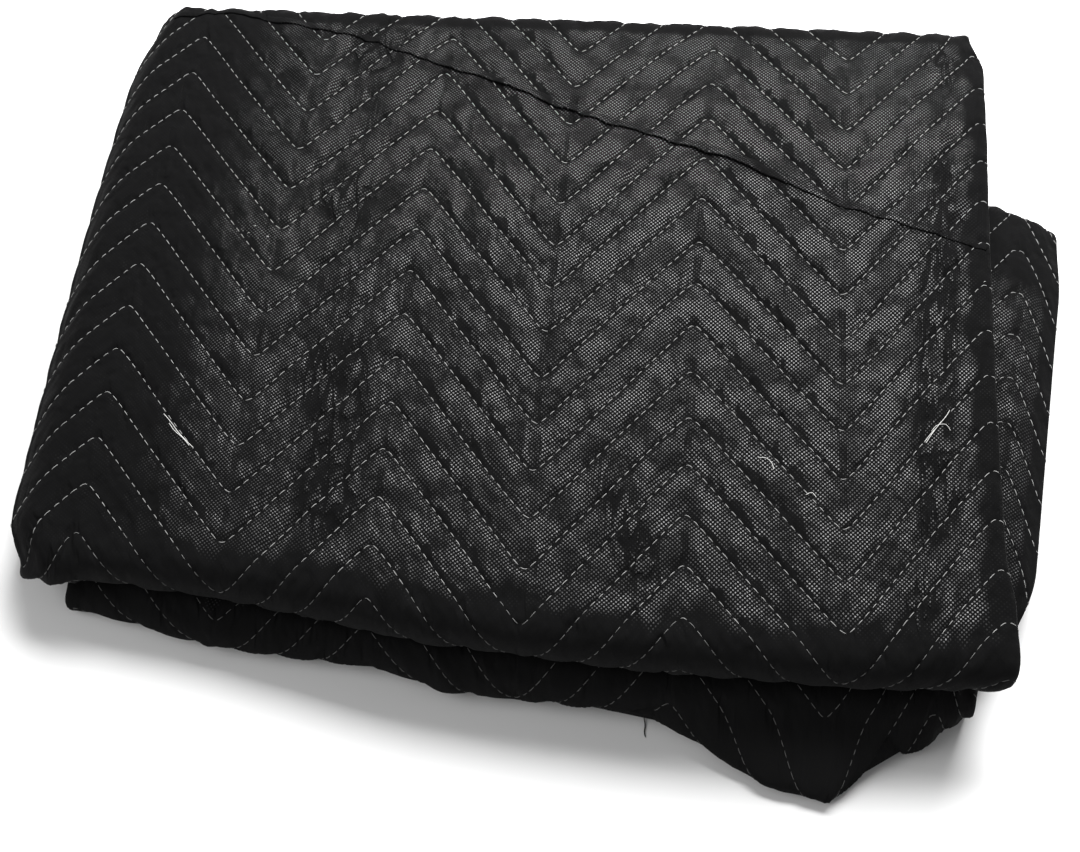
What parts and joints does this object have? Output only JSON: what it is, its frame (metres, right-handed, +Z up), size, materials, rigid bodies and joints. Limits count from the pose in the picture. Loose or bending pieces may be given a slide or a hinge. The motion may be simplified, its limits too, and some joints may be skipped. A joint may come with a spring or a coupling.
{
  "type": "stack of moving blankets",
  "caption": "Stack of folded quilted moving blankets: a neat bundle over a looser one, black with pale zigzag stitching.",
  "frame": {"origin": "under the middle of the stack's bounding box, on the surface that it rests on", "axes": "+X along the stack's long side to the right as seen from the front, +Y to the back, +Z up"},
  "size_m": [0.7131, 0.6084, 0.0865],
  "materials": {
    "lower_cloth": "matte",
    "upper_cloth": "matte"
  },
  "bodies": {
    "root": {"lower_blanket": "lower_cloth", "upper_blanket": "upper_cloth"}
  },
  "joints": []
}
